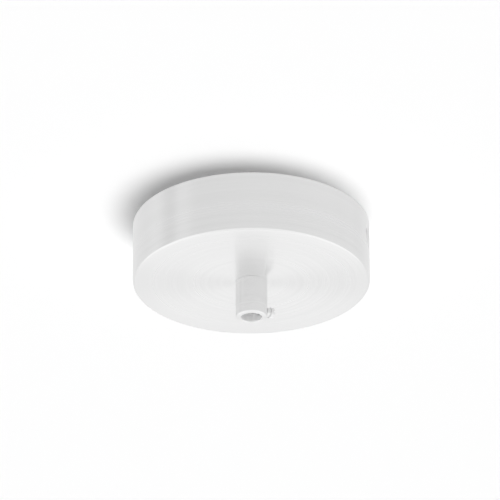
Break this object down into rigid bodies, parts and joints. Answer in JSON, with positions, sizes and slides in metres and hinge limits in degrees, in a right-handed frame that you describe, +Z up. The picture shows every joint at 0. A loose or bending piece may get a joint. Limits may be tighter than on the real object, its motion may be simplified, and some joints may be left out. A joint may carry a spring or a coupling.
{
  "type": "electrical ceiling rose",
  "caption": "Brushed metal ceiling rose: a round cup over a ceiling bracket with terminals, and a tubular cord grip with a clamping screw that holds a pendant lamp's flex.",
  "frame": {"origin": "on the ceiling plane, midway between the two fixing slots, which is on the axis of the cup", "axes": "+Z up into the ceiling, so that the rose hangs down along -Z; +X through the side screws and the fixing slots; +Y towards the terminal block"},
  "size_m": [0.1006, 0.1, 0.043],
  "materials": {
    "brushed_metal": "fine brushed satin, in circles on the underside and round the wall",
    "plated_screw": "bright nickel plate",
    "zinc_plate": "bright zinc plate",
    "bracket_steel": "dull zinc plate",
    "bush_plastic": "moulded, fine satin",
    "block_plastic": "moulded, off-white",
    "barrel_brass": "turned",
    "earth_brass": "turned",
    "terminal_steel": "zinc-plated screw steel"
  },
  "bodies": {
    "rose": {"canopy_cup": "brushed_metal", "cord_grip": "brushed_metal", "threaded_nipple": "zinc_plate", "flat_washer": "zinc_plate", "toothed_washer": "zinc_plate", "lock_nut": "zinc_plate", "edge_bush": "bush_plastic", "ceiling_bracket": "bracket_steel", "terminal_block": "block_plastic", "live_barrel": "barrel_brass", "earth_barrel": "barrel_brass", "neutral_barrel": "barrel_brass", "block_screw_right": "terminal_steel", "block_screw_left": "terminal_steel"},
    "right_side_screw": {"side_screw_right": "plated_screw"},
    "left_side_screw": {"side_screw_left": "plated_screw"},
    "grip_screw": {"cord_grip_screw": "plated_screw"},
    "live_outer": {"live_outer_screw": "terminal_steel"},
    "live_inner": {"live_inner_screw": "terminal_steel"},
    "earth_outer": {"earth_outer_screw": "terminal_steel"},
    "earth_inner": {"earth_inner_screw": "terminal_steel"},
    "neutral_outer": {"neutral_outer_screw": "terminal_steel"},
    "neutral_inner": {"neutral_inner_screw": "terminal_steel"},
    "earth_terminal_screw": {"earth_screw": "earth_brass", "earth_spring_washer": "terminal_steel", "earth_clamp_washer": "earth_brass"}
  },
  "joints": [
    {"name": "side_screw_right_slide", "type": "slide", "parent": "rose", "child": "right_side_screw", "axis": [1, 0, 0], "range_m": [0, 0.0075]},
    {"name": "side_screw_left_slide", "type": "slide", "parent": "rose", "child": "left_side_screw", "axis": [-1, 0, 0], "range_m": [0, 0.0075]},
    {"name": "grip_screw_slide", "type": "slide", "parent": "rose", "child": "grip_screw", "axis": [0.788, 0.6157, 0], "range_m": [-0.0017, 0.002]},
    {"name": "live_outer_slide", "type": "slide", "parent": "rose", "child": "live_outer", "axis": [0, 0, 1], "range_m": [0, 0.003]},
    {"name": "live_inner_slide", "type": "slide", "parent": "rose", "child": "live_inner", "axis": [0, 0, 1], "range_m": [0, 0.003]},
    {"name": "earth_outer_slide", "type": "slide", "parent": "rose", "child": "earth_outer", "axis": [0, 0, 1], "range_m": [0, 0.003]},
    {"name": "earth_inner_slide", "type": "slide", "parent": "rose", "child": "earth_inner", "axis": [0, 0, 1], "range_m": [0, 0.003]},
    {"name": "neutral_outer_slide", "type": "slide", "parent": "rose", "child": "neutral_outer", "axis": [0, 0, 1], "range_m": [0, 0.003]},
    {"name": "neutral_inner_slide", "type": "slide", "parent": "rose", "child": "neutral_inner", "axis": [0, 0, 1], "range_m": [0, 0.003]},
    {"name": "earth_screw_slide", "type": "slide", "parent": "rose", "child": "earth_terminal_screw", "axis": [0, 0, -1], "range_m": [0, 0.003]}
  ]
}
